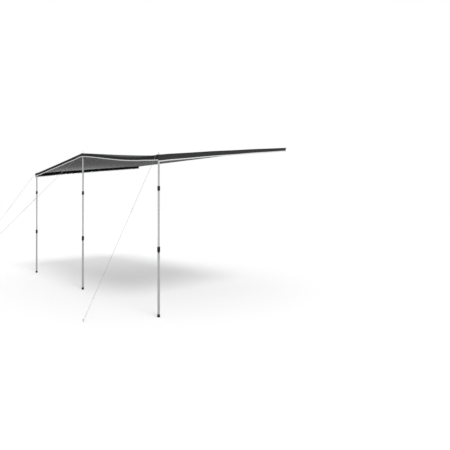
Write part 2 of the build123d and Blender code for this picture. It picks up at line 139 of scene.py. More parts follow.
def add_lamp(name, kind, energy, turn, place=(0, 0, 0)):
    """A lamp of one of Blender's kinds at a place in metres, turned by degrees about X, Y and Z."""
    data = bpy.data.lights.new(name, kind)
    data.energy = energy
    lamp = bpy.data.objects.new(name, data)
    lamp.location = place
    lamp.rotation_euler = [math.radians(angle) for angle in turn]
    lamp.visible_camera = False
    scene.collection.objects.link(lamp)
    return data


soft_lamp = add_lamp("soft_lamp", "SUN", energy=1.35, turn=(42, 0, 80))
soft_lamp.angle = math.radians(25)
low_panel = add_lamp("low_panel", "AREA", energy=30, turn=(90, 0, 90), place=(8.8, -2.6, -1.25))
low_panel.shape = "RECTANGLE"
low_panel.size = 5.0
low_panel.size_y = 2.2
far_panel = add_lamp("far_panel", "AREA", energy=13, turn=(0, -172, 0), place=(-2.75, -1.6, -2.25))
far_panel.shape = "RECTANGLE"
far_panel.size = 1.0
far_panel.size_y = 1.3
far_panel.spread = math.radians(48)

# Guy ropes. Braided pale grey polyester line of 3 mm: from each pole's spike over the roof's edge, down to
# its peg, round it and back up through the runner to a stopper knot.
rope_diameter = 0.003
rope_radius = rope_diameter / 2
rope_sides = 12
line_steps = 24  # how finely a rope's line is drawn between two points of its route
rope_routes = {
    "near": [
        (2.3608, -2.4897, -0.2909),
        (2.3557, -2.4986, -0.2918),
        (2.3525, -2.5049, -0.3083),
        (1.9555, -3.2898, -2.3596),
        (1.9523, -3.2961, -2.3761),
        (1.9437, -3.2917, -2.3761),
        (1.9469, -3.2854, -2.3596),
        (2.2132, -2.7589, -0.9837),
    ],
    "mid": [
        (-0.0033, -2.4902, -0.0693),
        (-0.0046, -2.4984, -0.0696),
        (-0.0066, -2.5105, -0.0828),
        (-0.3441, -4.5839, -2.3586),
        (-0.3461, -4.5960, -2.3718),
        (-0.3556, -4.5945, -2.3718),
        (-0.3536, -4.5824, -2.3586),
        (-0.1283, -3.1986, -0.8398),
    ],
    "far": [
        (-2.3752, -2.4912, -0.2861),
        (-2.3776, -2.4992, -0.2869),
        (-2.3802, -2.5089, -0.3019),
        (-2.7340, -3.8363, -2.3583),
        (-2.7366, -3.8460, -2.3733),
        (-2.7459, -3.8435, -2.3733),
        (-2.7433, -3.8338, -2.3583),
        (-2.5062, -2.9444, -0.9805),
    ],
}


def smooth_line(name, route):
    """Points along the NURBS spline of order 3 that a route controls, as Blender draws it."""
    curve = bpy.data.curves.new(name, "CURVE")
    curve.dimensions = "3D"
    spline = curve.splines.new("NURBS")
    spline.points.add(len(route) - 1)
    spline.points.foreach_set("co", np.c_[np.array(route), np.ones(len(route))].ravel())
    spline.order_u = 3
    spline.use_endpoint_u = True
    spline.resolution_u = line_steps
    carrier = bpy.data.objects.new(name, curve)
    scene.collection.objects.link(carrier)
    bpy.context.view_layer.update()
    line = bpy.data.meshes.new_from_object(carrier.evaluated_get(bpy.context.evaluated_depsgraph_get()))
    points = np.empty(3 * len(line.vertices))
    line.vertices.foreach_get("co", points)
    bpy.data.meshes.remove(line)
    bpy.data.objects.remove(carrier)
    bpy.data.curves.remove(curve)
    return points.reshape(-1, 3)


def unit(vectors):
    """Each vector divided by its own length."""
    return vectors / np.linalg.norm(vectors, axis=-1, keepdims=True)


def make_surface(name, grid, places=None, ring=False, loop=False, keep=None):
    """A mesh over a grid of points: a face joins each point to its neighbours along its row and its column,
    and looks the way of (next in the row) x (next row). ring closes the rows and loop the columns. places is
    where each point lies on the flat cloth, in metres, with one more column for a ring and row for a loop.
    keep is a mask of the faces that stay, where there is a hole."""
    rows, columns = grid.shape[:2]
    r, c = np.meshgrid(np.arange(rows - (not loop)), np.arange(columns - (not ring)), indexing="ij")
    corner_r = np.stack([r, r, r + 1, r + 1], -1).reshape(-1, 4)
    corner_c = np.stack([c, c + 1, c + 1, c], -1).reshape(-1, 4)
    if keep is not None:
        corner_r = corner_r[keep.ravel()]
        corner_c = corner_c[keep.ravel()]
    used, faces = np.unique((corner_r % rows) * columns + corner_c % columns, return_inverse=True)
    faces = faces.reshape(-1, 4)
    mesh = bpy.data.meshes.new(name)
    mesh.vertices.add(len(used))
    mesh.vertices.foreach_set("co", grid.reshape(-1, 3)[used].astype(np.float32).ravel())
    mesh.loops.add(faces.size)
    mesh.loops.foreach_set("vertex_index", faces.astype(np.int32).ravel())
    mesh.polygons.add(len(faces))
    mesh.polygons.foreach_set("loop_start", np.arange(0, faces.size, 4, dtype=np.int32))
    if places is not None:
        flat = mesh.uv_layers.new(name="UVMap")
        flat.data.foreach_set("uv", places[corner_r, corner_c].astype(np.float32).ravel())
    mesh.update(calc_edges=True)
    mesh.validate()
    mesh.polygons.foreach_set("use_smooth", np.ones(len(mesh.polygons), bool))
    piece = bpy.data.objects.new(name, mesh)
    scene.collection.objects.link(piece)
    return piece


def make_tube(name, line, up, radius, sides, loop=False):
    """A round tube along a line: at each point a circle of that radius, square to the line there, whose
    first spoke is the part of up that is square to the line. Its places run in metres along and around."""
    ahead = np.roll(line, -1, 0) - np.roll(line, 1, 0)
    if not loop:
        ahead[0] = line[1] - line[0]
        ahead[-1] = line[-1] - line[-2]
    ahead = unit(ahead)
    up = np.broadcast_to(up, line.shape)
    side = unit(up - (up * ahead).sum(1, keepdims=True) * ahead)
    other = np.cross(ahead, side)
    angle = 2 * np.pi * np.arange(sides) / sides
    spokes = side[:, None] * np.cos(angle)[:, None] + other[:, None] * np.sin(angle)[:, None]
    grid = line[:, None] + radius * spokes
    closed = np.vstack([line, line[:1]]) if loop else line
    gone = np.r_[0, np.linalg.norm(np.diff(closed, axis=0), axis=1).cumsum()]
    around = np.linspace(0, 2 * np.pi * radius, sides + 1)
    places = np.stack(np.meshgrid(gone, around, indexing="ij"), -1)
    return make_surface(name, grid, places, ring=True, loop=loop)


def new_group(name, inputs, outputs):
    """An empty shader node group: its inputs are {name: (kind, default)} and its outputs {name: kind}."""
    group = bpy.data.node_groups.new(name, "ShaderNodeTree")
    for key, (kind, default) in inputs.items():
        socket = group.interface.new_socket(key, in_out="INPUT", socket_type=kind)
        if default is not None:
            socket.default_value = default
    for key, kind in outputs.items():
        group.interface.new_socket(key, in_out="OUTPUT", socket_type=kind)
    return group, group.nodes.new("NodeGroupInput"), group.nodes.new("NodeGroupOutput")


def use_group(tree, group, **inputs):
    """A group placed in a material, with its inputs set or linked."""
    made = tree.nodes.new("ShaderNodeGroup")
    made.node_tree = group
    set_inputs(tree, made, inputs)
    return made


def new_material(name, roughness=0.5, metallic=0.0, specular=0.5, sheen=0.0):
    """A material with its Principled shader: (material, its tree, the shader)."""
    material = bpy.data.materials.new(name)
    material.use_nodes = True
    shader = material.node_tree.nodes["Principled BSDF"]
    shader.inputs["Roughness"].default_value = roughness
    shader.inputs["Metallic"].default_value = metallic
    shader.inputs["Specular IOR Level"].default_value = specular
    shader.inputs["Sheen Weight"].default_value = sheen
    return material, material.node_tree, shader


def dimmed(tree, colour, shade):
    """A colour times a shade."""
    product = node(tree, "ShaderNodeVectorMath", i0=colour, i1=shade)
    product.operation = "MULTIPLY"
    return product.outputs[0]


def mixed(tree, share, first, second):
    """The first colour where the share is 0, the second where it is 1, and a blend between."""
    blend = node(tree, "ShaderNodeMix", i0=share)
    blend.data_type = "RGBA"
    set_inputs(tree, blend, {"A": first, "B": second})
    return blend.outputs["Result"]


def interlaced(tree, first, second):
    """The height of two sets of threads that cross. Each thread's rise is |sin| of its set's phase, and the
    first set lies on top where the product of the two phases' cosines is above 0."""
    first_rise = maths(tree, "ABSOLUTE", maths(tree, "SINE", first))
    second_rise = maths(tree, "ABSOLUTE", maths(tree, "SINE", second))
    crossing = maths(tree, "MULTIPLY", maths(tree, "COSINE", first), maths(tree, "COSINE", second))
    over = maths(tree, "GREATER_THAN", crossing, 0.0)
    under = maths(tree, "SUBTRACT", 1.0, over)
    upper = maths(tree, "MULTIPLY", first_rise, over)
    return maths(tree, "ADD", upper, maths(tree, "MULTIPLY", second_rise, under))


def raise_surface(tree, shader, height, strength, distance):
    """Feeds a height through a Bump node into the shader's normal."""
    bump = node(tree, "ShaderNodeBump", Strength=strength, Distance=distance, Height=height)
    tree.links.new(bump.outputs["Normal"], shader.inputs["Normal"])


# Braid: two sets of strands wind round the rope in opposite ways and pass over and under each other.
braid, enter, leave = new_group(
    "braid",
    {
        "Place": ("NodeSocketVector", None),
        "Pitch": ("NodeSocketFloat", 0.012),
        "Strands": ("NodeSocketFloat", 4.0),
        "Girth": ("NodeSocketFloat", 0.0094),
    },
    {"Height": "NodeSocketFloat", "Shade": "NodeSocketFloat"},
)
split = node(braid, "ShaderNodeSeparateXYZ", Vector=enter.outputs["Place"])
along = maths(braid, "DIVIDE", split.outputs["X"], enter.outputs["Pitch"])
round_way = maths(braid, "DIVIDE", split.outputs["Y"], enter.outputs["Girth"])
turned = maths(braid, "MULTIPLY", round_way, enter.outputs["Strands"])
lifted = maths(braid, "MULTIPLY", along, enter.outputs["Strands"])
right = maths(braid, "MULTIPLY", maths(braid, "ADD", lifted, turned), math.pi)
left = maths(braid, "MULTIPLY", maths(braid, "SUBTRACT", lifted, turned), math.pi)
height = interlaced(braid, right, left)
# Shade: a painted shade, darker where the strands dip under each other.
shade = node(braid, "ShaderNodeMapRange", Value=height, To_Min=0.72)
set_inputs(braid, leave, {"Height": height, "Shade": shade.outputs["Result"]})

rope_clean = (0.34, 0.34, 0.33, 1)
rope_dusty = (0.26, 0.26, 0.25, 1)
rope_material, tree, shader = new_material("guy_rope", roughness=0.75, sheen=0.2)
place = tree.nodes.new("ShaderNodeUVMap")
plait = use_group(tree, braid, Place=place.outputs["UV"], Girth=math.pi * rope_diameter)
rope_soil = node(tree, "ShaderNodeTexNoise", Vector=place.outputs["UV"], Scale=9.0, Detail=3.0)
rope_tone = mixed(tree, rope_soil.outputs["Fac"], rope_clean, rope_dusty)
# The braid's painted shade darkens the rope between its strands.
set_inputs(tree, shader, {"Base Color": dimmed(tree, rope_tone, plait.outputs["Shade"])})
raise_surface(tree, shader, plait.outputs["Height"], strength=0.6, distance=0.0004)

rope_pieces = {}
for name, route in rope_routes.items():
    line = smooth_line(f"{name}_rope_line", route)
    down = unit(line[-1] - line[0])
    strand_gap = np.array(route[5]) - np.array(route[4])
    rope = make_tube(f"{name}_rope", line, np.cross(down, strand_gap), rope_radius, rope_sides)
    rope.data.materials.append(rope_material)
    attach(rope, "canopy")
    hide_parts(f"{name}_guy_rope")
    rope_pieces[name] = (rope, line)

# Rope eyes and stopper knots. Each rope's top end is a loop over its spike, drawn tight by a knot, and an
# overhand knot in the tail keeps the runner on.
eye_radius = 0.0105
eye_steps = 64
knot_size = 0.0042
knot_sides = 10
knot_steps = 72
knot_flatness = 0.62
knot_reach = 0.0033  # from a rope's end out to its knot's middle
skew = (0.31, 0.52, 0.79)  # a direction that no rope has, to find one square to each


def overhand(centre, way, size):
    """The closed line of an overhand knot: x = sin t + 2 sin 2t, y = cos t - 2 cos 2t and z = -sin 3t, the
    first two a third as large and the last flattened, laid square to the rope. Also its spokes' way."""
    turn = np.linspace(0, 2 * np.pi, knot_steps, endpoint=False)
    across = unit(np.cross(way, skew))
    third = np.cross(way, across)
    x = (np.sin(turn) + 2 * np.sin(2 * turn)) / 3
    y = (np.cos(turn) - 2 * np.cos(2 * turn)) / 3
    z = -np.sin(3 * turn) * knot_flatness
    shape = x[:, None] * across + y[:, None] * third + z[:, None] * way
    return centre + size * shape, np.broadcast_to(way, shape.shape)


eye_centres = {
    "near": (2.3700, -2.4714, -0.2893),
    "mid": (0.0, -2.4702, -0.0692),
    "far": (-2.3700, -2.4714, -0.2842),
}
eye_slopes = {"near": 6.8, "mid": 1.7, "far": 6.7}  # the roof's slope there, in degrees
for name, (rope, line) in rope_pieces.items():
    slope = math.radians(eye_slopes[name])
    across = np.array((1.0, 0.0, 0.0))
    uphill = np.array((0.0, math.cos(slope), math.sin(slope)))
    lid = np.array((0.0, -math.sin(slope), math.cos(slope)))
    turn = np.linspace(0, 2 * np.pi, eye_steps, endpoint=False)[:, None]
    ring = np.array(eye_centres[name]) + eye_radius * (np.cos(turn) * across + np.sin(turn) * uphill)
    loop = make_tube(f"{name}_rope_eye", ring, lid, rope_radius, rope_sides, loop=True)
    start = line[0]
    away = unit(line[1] - line[0])
    knot_line, spokes = overhand(start - away * knot_reach, away, knot_size)
    knot = make_tube(f"{name}_eye_knot", knot_line, spokes, rope_radius, knot_sides, loop=True)
    end = line[-1]
    onward = unit(line[-1] - line[-2])
    stop_line, spokes = overhand(end + onward * knot_reach, onward, knot_size)
    stopper = make_tube(f"{name}_stopper_knot", stop_line, spokes, rope_radius, knot_sides, loop=True)
    for piece in (loop, knot, stopper):
        piece.data.materials.append(rope_material)
        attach(piece, "canopy")
    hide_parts("rope_eyes")
    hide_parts("stopper_knots")

# Roof. One sheet of coarse coated polyester, dark outside and paler inside, stretched from the keder to the
# three poles; its front and side edges turn down into a narrow hem that the valances are sewn behind.
roof_low, roof_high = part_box("roof_sheet")
side_reach = roof_high.x
front_reach = -roof_low.y
lap_edge = 0.0055  # the roof's rear hem starts here, on the keder tape's flange
lap_end = 0.030  # and steps down off it before this
lap_step = 0.012
lap_rise = 0.0011
flange_edge = 0.016
roof_top = 0.0008
roof_thick = 0.0011
pole_spacing = 2.370
near_level = -0.295
peak_level = -0.073
far_level = -0.290
near_sag = 0.034
far_sag = 0.004
near_sag_scale = 27 / 4  # brings share * (1 - share)**2, the near half's sag, to one at its deepest
far_sag_scale = 4  # the same for share * (1 - share), the far half's
corner_flat = 0.040
peak_flat = 0.030
hem_bend = 0.003
hem_drop = 0.009
eyelet_places = {"near": (pole_spacing, -2.4717), "mid": (0.0, -2.4704), "far": (-pole_spacing, -2.4717)}
eyelet_back = 2.4713  # about how far the eyelets are from the rail
eyelet_hole = 0.0096
hole_snap = 0.0019  # grid points this near the hole's rim move onto it
hole_slack = 0.0001  # keeps the points on the rim from counting as in the hole
flat_round_eyelet = 0.034
belly = 0.007
edge_bow = 0.009
edge_band = 0.16
slack_waves = ((0.0016, 5.3, 1.9, 0.0), (0.0011, 3.1, -7.7, 0.8))  # height, pitch along x and y, phase
fold_rise = 0.0021
fold_reach = 0.10
fold_count = 13
fold_turn = 0.7
grid_step = 0.031
grid_fine = 0.0036
fine_reach = 0.018
grid_growth = 0.13
spacing_samples = 20001


def front_edge(x):
    """The height of the roof's front edge: a straight rise to the peak, less each half's own sag."""
    share = np.clip((pole_spacing - corner_flat - abs(x)) / (pole_spacing - corner_flat - peak_flat), 0, 1)
    end = np.where(x > 0, near_level, far_level)
    near_dip = near_sag * near_sag_scale * share * (1 - share) ** 2
    far_dip = far_sag * far_sag_scale * share * (1 - share)
    sag = np.where(x > 0, near_dip, far_dip)
    return end + (peak_level - end) * share - sag


def closer_lines(low, high, centres):
    """Grid lines from low to high. Their spacing is the fine one near each centre, grows past the fine reach
    in proportion to the distance, and ends at the wide one."""
    dense = np.linspace(low, high, spacing_samples)
    away = np.min([abs(dense - centre) for centre in centres], 0)
    spacing = np.minimum(grid_step, grid_fine + grid_growth * np.maximum(away - fine_reach, 0))
    count = np.r_[0, ((1 / spacing[1:] + 1 / spacing[:-1]) / 2 * np.diff(dense)).cumsum()]
    return np.interp(np.linspace(0, count[-1], int(round(count[-1])) + 1), count, dense)


def roof_swell(x, y):
    """What the stretched cloth adds to the straight lines from keder to front edge: a slack belly in each
    bay, side edges that bow up, long soft waves, and short folds that run out of each eyelet."""
    share = np.clip((-y - flange_edge) / (front_reach - flange_edge), 0, 1)
    middle = np.sin(np.pi * share)
    bay = np.sin(np.pi * np.clip(abs(x) / pole_spacing, 0, 1))
    swell = -belly * middle * bay
    swell += edge_bow * middle * np.exp(-(((side_reach - abs(x)) / edge_band) ** 2))
    swell += sum(rise * middle * np.sin(u * x + v * y + phase) for rise, u, v, phase in slack_waves)
    for place_x, place_y in eyelet_places.values():
        away = np.hypot(x - place_x, y - place_y)
        turn = np.arctan2(y - place_y, x - place_x)
        pull = np.clip((away - flat_round_eyelet) / fold_reach, 0, None)
        fade = middle**0.25
        swell += fold_rise * pull * np.exp(1 - pull) * np.cos(fold_count * turn + fold_turn) * fade
    return swell


def turned_down(reach, limit):
    """A hem at an edge: past the start of its bend the cloth goes round a quarter circle and then down.
    Gives how far out each point is and how far down."""
    past = np.maximum(reach - (limit - hem_bend), 0)
    angle = np.minimum(past / hem_bend, np.pi / 2)
    out = np.where(past > 0, limit - hem_bend + hem_bend * np.sin(angle), reach)
    down = hem_bend * (1 - np.cos(angle)) + np.maximum(past - hem_bend * np.pi / 2, 0)
    return out, down


hem_steps = np.r_[np.linspace(0, hem_bend * np.pi / 2, 5)[1:], hem_bend * np.pi / 2 + hem_drop]
side_start_bend = side_reach - hem_bend
front_start_bend = front_reach - hem_bend
across_lines = closer_lines(-side_start_bend, side_start_bend, (-pole_spacing, 0, pole_spacing))
across_lines = np.r_[-(side_start_bend + hem_steps)[::-1], across_lines, side_start_bend + hem_steps]
back_lines = closer_lines(lap_edge, front_start_bend, (eyelet_back,))
back_lines = np.r_[back_lines, front_start_bend + hem_steps][::-1]
flat_x, flat_back = np.meshgrid(across_lines, back_lines)
shift_x = flat_x.copy()
shift_back = flat_back.copy()
for place_x, place_y in eyelet_places.values():
    away = np.hypot(flat_x - place_x, flat_back + place_y)
    rim = abs(away - eyelet_hole) < hole_snap
    grow = np.where(rim, eyelet_hole / np.maximum(away, 1e-6), 1)
    shift_x = np.where(rim, place_x + (flat_x - place_x) * grow, shift_x)
    shift_back = np.where(rim, -place_y + (flat_back + place_y) * grow, shift_back)
out_x, down_x = turned_down(abs(shift_x), side_reach)
out_back, down_back = turned_down(shift_back, front_reach)
roof_x = np.sign(shift_x) * out_x
roof_y = -out_back
share = (out_back - flange_edge) / (front_reach - flange_edge)
lap = lap_rise * np.clip((lap_end - out_back) / lap_step, 0, 1)
roof_z = roof_top + (front_edge(roof_x) - roof_top) * np.maximum(share, 0) + roof_swell(roof_x, roof_y) + lap
roof_grid = np.stack([roof_x, roof_y, roof_z - down_x - down_back], -1)
in_hole = np.zeros(roof_x.shape, bool)
for place_x, place_y in eyelet_places.values():
    in_hole |= np.hypot(roof_x - place_x, roof_y - place_y) < eyelet_hole - hole_slack
keep = ~(in_hole[1:, 1:] | in_hole[1:, :-1] | in_hole[:-1, 1:] | in_hole[:-1, :-1])
roof = make_surface("roof", roof_grid, np.stack([flat_x, -flat_back], -1), keep=keep)


def give_wall(piece, thick, inner_slot=0):
    """A Solidify modifier that grows a wall of that thickness behind the surface."""
    wall = piece.modifiers.new("wall", "SOLIDIFY")
    wall.thickness = thick
    wall.offset = -1
    wall.material_offset = inner_slot


give_wall(roof, roof_thick, inner_slot=1)

# Plain weave: warp and weft threads that pass over and under each other, in metres on the flat cloth.
weave, enter, leave = new_group(
    "plain_weave",
    {"Place": ("NodeSocketVector", None), "Thread": ("NodeSocketFloat", 0.0006)},
    {"Height": "NodeSocketFloat", "Shade": "NodeSocketFloat"},
)
split = node(weave, "ShaderNodeSeparateXYZ", Vector=enter.outputs["Place"])
warp = maths(weave, "MULTIPLY", maths(weave, "DIVIDE", split.outputs["X"], enter.outputs["Thread"]), math.pi)
weft = maths(weave, "MULTIPLY", maths(weave, "DIVIDE", split.outputs["Y"], enter.outputs["Thread"]), math.pi)
height = interlaced(weave, warp, weft)
# Shade: a painted shade, darker where the threads dip under each other.
shade = node(weave, "ShaderNodeMapRange", Value=height, To_Min=0.8)
set_inputs(weave, leave, {"Height": height, "Shade": shade.outputs["Result"]})

# Soil: broad faint patches where dust and rain have left the cloth uneven, on Object coordinates.
soil, enter, leave = new_group(
    "weather_soil",
    {"Scale": ("NodeSocketFloat", 2.0), "Amount": ("NodeSocketFloat", 0.15)},
    {"Shade": "NodeSocketFloat"},
)
where = soil.nodes.new("ShaderNodeTexCoord").outputs["Object"]
broad = node(soil, "ShaderNodeTexNoise", Vector=where, Scale=enter.outputs["Scale"], Detail=5.0)
spread = node(soil, "ShaderNodeMapRange", Value=broad.outputs["Fac"], From_Min=0.3, From_Max=0.7)
loss = maths(soil, "MULTIPLY", spread.outputs["Result"], enter.outputs["Amount"])
soil.links.new(maths(soil, "SUBTRACT", 1.0, loss), leave.inputs["Shade"])

# Stitches: thread dashes along one way of the cloth's places, in a row that lies at one place across it.
dash_half = 0.38  # half a stitch's thread, as a share of the pitch
stitch, enter, leave = new_group(
    "stitch_row",
    {
        "Along": ("NodeSocketFloat", 0.0),
        "Across": ("NodeSocketFloat", 0.0),
        "Row": ("NodeSocketFloat", 0.0),
        "Pitch": ("NodeSocketFloat", 0.004),
        "Width": ("NodeSocketFloat", 0.0008),
    },
    {"Mask": "NodeSocketFloat"},
)
share = maths(stitch, "DIVIDE", enter.outputs["Along"], enter.outputs["Pitch"])
phase = maths(stitch, "ABSOLUTE", maths(stitch, "SUBTRACT", maths(stitch, "FRACT", share), 0.5))
dash = maths(stitch, "LESS_THAN", phase, dash_half)
away = maths(stitch, "ABSOLUTE", maths(stitch, "SUBTRACT", enter.outputs["Across"], enter.outputs["Row"]))
near_row = maths(stitch, "LESS_THAN", away, maths(stitch, "DIVIDE", enter.outputs["Width"], 2.0))
stitch.links.new(maths(stitch, "MULTIPLY", dash, near_row), leave.inputs["Mask"])


def cloth_material(name, colour, roughness, thread, relief, soil_amount, specular=0.3):
    """Woven cloth: its colour, a painted shade between the threads, darker patches of soil, and a raised
    weave.
    """
    material, tree, shader = new_material(name, roughness=roughness, specular=specular)
    place = tree.nodes.new("ShaderNodeUVMap")
    threads = use_group(tree, weave, Place=place.outputs["UV"], Thread=thread)
    marks = use_group(tree, soil, Scale=2.3, Amount=soil_amount)
    shade = maths(tree, "MULTIPLY", threads.outputs["Shade"], marks.outputs["Shade"])
    set_inputs(tree, shader, {"Base Color": dimmed(tree, colour, shade)})
    raise_surface(tree, shader, threads.outputs["Height"], relief, thread / 2)
    return material


def doubled(tree, place, middle, half):
    """1 within half of the middle, where the cloth lies double, and 0 past a short smooth step."""
    away = maths(tree, "ABSOLUTE", maths(tree, "SUBTRACT", place, middle))
    rim = half + seam_step
    step = node(tree, "ShaderNodeMapRange", Value=away, From_Min=half, From_Max=rim, To_Min=1.0, To_Max=0.0)
    step.interpolation_type = "SMOOTHSTEP"
    return step.outputs["Result"]


def sew_roof(material, thread_colour):
    """Adds the roof's sewing to its cloth. The flat seams that join the cloth's widths and the hems lie
    double, are darkened along their steps by a painted shade, and have two rows of stitches each."""
    tree = material.node_tree
    shader = tree.nodes["Principled BSDF"]
    place = tree.nodes.new("ShaderNodeUVMap")
    split = node(tree, "ShaderNodeSeparateXYZ", Vector=place.outputs["UV"])
    across = maths(tree, "ABSOLUTE", split.outputs["X"])
    back = maths(tree, "MULTIPLY", split.outputs["Y"], -1.0)
    bands = [(back, across, seam_line) for seam_line in seam_lines]
    bands += [(back, across, side_reach - hem_middle), (across, back, front_reach - hem_middle)]
    bands += [(across, back, lap_edge + hem_middle)]
    sewn = 0.0
    proud = 0.0
    for along, over, middle in bands:
        proud = maths(tree, "MAXIMUM", proud, doubled(tree, over, middle, seam_half))
        for row in (middle - seam_row, middle + seam_row):
            dashes = use_group(tree, stitch, Along=along, Across=over, Row=row, **roof_stitch)
            sewn = maths(tree, "MAXIMUM", sewn, dashes.outputs["Mask"])
    # A painted shade darkens the cloth along each step, where the doubled cloth meets the plain.
    on_step = maths(tree, "MULTIPLY", proud, maths(tree, "SUBTRACT", 1.0, proud))
    painted_step_shade = maths(tree, "SUBTRACT", 1.0, maths(tree, "MULTIPLY", on_step, 2.0))
    woven = shader.inputs["Base Color"].links[0].from_socket
    step_shaded = dimmed(tree, woven, painted_step_shade)
    set_inputs(tree, shader, {"Base Color": mixed(tree, sewn, step_shaded, (*thread_colour, 1))})
    weave_bump = shader.inputs["Normal"].links[0].from_node
    raised = maths(tree, "SUBTRACT", proud, maths(tree, "MULTIPLY", sewn, 0.5))
    seam_bump = node(tree, "ShaderNodeBump", Strength=1.0, Distance=seam_rise, Height=raised)
    set_inputs(tree, seam_bump, {"Normal": weave_bump.outputs["Normal"]})
    set_inputs(tree, shader, {"Normal": seam_bump.outputs["Normal"]})


seam_lines = (0.0, 1.2)  # on both sides of the middle, where the cloth's four widths are joined
seam_half = 0.006
seam_row = 0.004
seam_step = 0.0025  # from the rim of doubled cloth to where the plain cloth lies flat
seam_rise = 0.0012  # how far the bump raises doubled cloth
hem_middle = 0.0075
roof_stitch = {"Pitch": 0.0045, "Width": 0.0012}
coarse_thread = 0.0007
roof_cloth = cloth_material(
    "roof_cloth",
    colour=(0.036, 0.038, 0.042),
    roughness=0.75,
    thread=coarse_thread,
    relief=0.5,
    soil_amount=0.2,
    specular=0.25,
)
roof_coating = cloth_material(
    "roof_coating",
    colour=(0.072, 0.072, 0.074),
    roughness=0.65,
    thread=coarse_thread,
    relief=0.25,
    soil_amount=0.12,
    specular=0.12,
)
sew_roof(roof_cloth, thread_colour=(0.110, 0.112, 0.118))
sew_roof(roof_coating, thread_colour=(0.050, 0.050, 0.052))
roof.data.materials.append(roof_cloth)
roof.data.materials.append(roof_coating)
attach(roof, "canopy")
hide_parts("roof_sheet")

# Valances. Straight strips of the same polyester, dyed black and coated black inside, sewn behind the roof's
# hem. They hang with a slight swing that grows downwards. The side strips are given a lighter colour than
# the front strip: a painted light that stands for the sides being lit more.
valance_thick = 0.0009
valance_rows = 9
front_steps = 500
side_steps = 260
corner_gap = 0.0004  # the front strip ends this far inside the roof's side edges
valance_foot = 0.004  # the cloth ends this far above the drop, inside its binding
behind_hem = 0.0012
under_bend = 0.001  # the strips start this far below the hem's bend
front_drop = 0.060
near_corner_drop = 0.076
near_corner_run = 0.340
side_front_drops = {"near": 0.092, "far": 0.080}
side_rear_drop = 0.060
side_start = -front_reach + behind_hem
side_end = -0.020
up = np.array((0.0, 0.0, 1.0))
swing_waves = ((0.0024, 7.9, 0.6), (0.0017, 13.7, 2.1), (0.0009, 29.0, 0.0))  # reach, pitch, phase
swing_power = 1.5  # the swing grows with this power of the way down
calm_run = 0.25  # from a strip's end
still_near = 0.03  # from a pole
still_run = 0.2


def strip_swing(way):
    """How far a strip's lower edge stands out, along its length: three sines of uneven pitch, stilled at
    the strip's ends."""
    length = way[-1]
    calm = np.clip(np.minimum(way, length - way) / calm_run, 0, 1) ** 2
    return calm * sum(reach * np.sin(pitch * way + phase) for reach, pitch, phase in swing_waves)


def pole_stillness(x):
    """0 at the poles, where the ropes pull over the front valance, and 1 past the run beside them."""
    away = np.min([abs(x - place) for place, _ in eyelet_places.values()], 0)
    return np.clip((away - still_near) / still_run, 0, 1) ** 2


front_x = np.linspace(-side_reach + corner_gap, side_reach - corner_gap, front_steps)
front_line = np.stack([front_x, np.full(front_x.shape, -front_reach), front_edge(front_x)], -1)
front_swing = strip_swing(front_x - front_x[0]) * pole_stillness(front_x)
side_y = np.linspace(side_start, side_end, side_steps)


def side_line(side, y):
    """The roof's side edge at those distances back, on the near side (1) or the far one (-1)."""
    x = np.full(y.shape, side * side_reach)
    share = (-y - flange_edge) / (front_reach - flange_edge)
    z = roof_top + (front_edge(x) - roof_top) * share + roof_swell(x, y)
    return np.stack([x, y, z], -1)


deepening = np.clip((front_x - (side_reach - near_corner_run)) / near_corner_run, 0, 1)
front_drops = front_drop + (near_corner_drop - front_drop) * deepening
forward = (side_y - side_end) / (side_start - side_end)
near_drops = side_rear_drop + (side_front_drops["near"] - side_rear_drop) * forward
far_drops = side_rear_drop + (side_front_drops["far"] - side_rear_drop) * forward
side_swing = strip_swing(side_y - side_y[0])
strips = {
    "front": (front_line, np.array((0.0, -1.0, 0.0)), front_drops, front_swing),
    "near": (side_line(1, side_y), np.array((1.0, 0.0, 0.0)), near_drops, side_swing),
    "far": (side_line(-1, side_y)[::-1], np.array((-1.0, 0.0, 0.0)), far_drops[::-1], side_swing[::-1]),
}
dyed = {"roughness": 0.85, "thread": coarse_thread, "relief": 0.5, "soil_amount": 0.1, "specular": 0.16}
coated = {"roughness": 0.8, "thread": coarse_thread, "relief": 0.2, "soil_amount": 0.1, "specular": 0.08}
front_cloth = cloth_material("front_valance_cloth", (0.021, 0.021, 0.022), **dyed)
# The side strips' colour is lighter than the front strip's, as painted light.
painted_light_side_cloth = cloth_material("side_valance_painted_light", (0.038, 0.038, 0.040), **dyed)
valance_coating = cloth_material("valance_coating", (0.005, 0.005, 0.005), **coated)
lower_edges = {}
for name, (line, outward, drops, swing) in strips.items():
    hang = np.linspace(1, 0, valance_rows)[:, None, None]
    top = line - up * (hem_bend + under_bend) - outward * behind_hem
    bottom = line - (drops - valance_foot)[:, None] * up - outward * behind_hem
    grid = top + (bottom - top) * hang + outward * swing[:, None] * hang**swing_power
    gone = np.r_[0, np.linalg.norm(np.diff(line, axis=0), axis=1).cumsum()]
    heights = np.linspace(0, 1, valance_rows)[:, None] * drops
    places = np.stack([np.broadcast_to(gone, heights.shape), heights], -1)
    valance = make_surface(f"{name}_valance_cloth", grid, places)
    give_wall(valance, valance_thick, inner_slot=1)
    valance.data.materials.append(front_cloth if name == "front" else painted_light_side_cloth)
    valance.data.materials.append(valance_coating)
    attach(valance, "canopy")
    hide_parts(f"{name}_valance")
    inset = behind_hem + valance_thick / 2
    lower = line - up * drops[:, None] - outward * inset + outward * swing[:, None]
    lower_edges[name] = (lower, outward, gone)

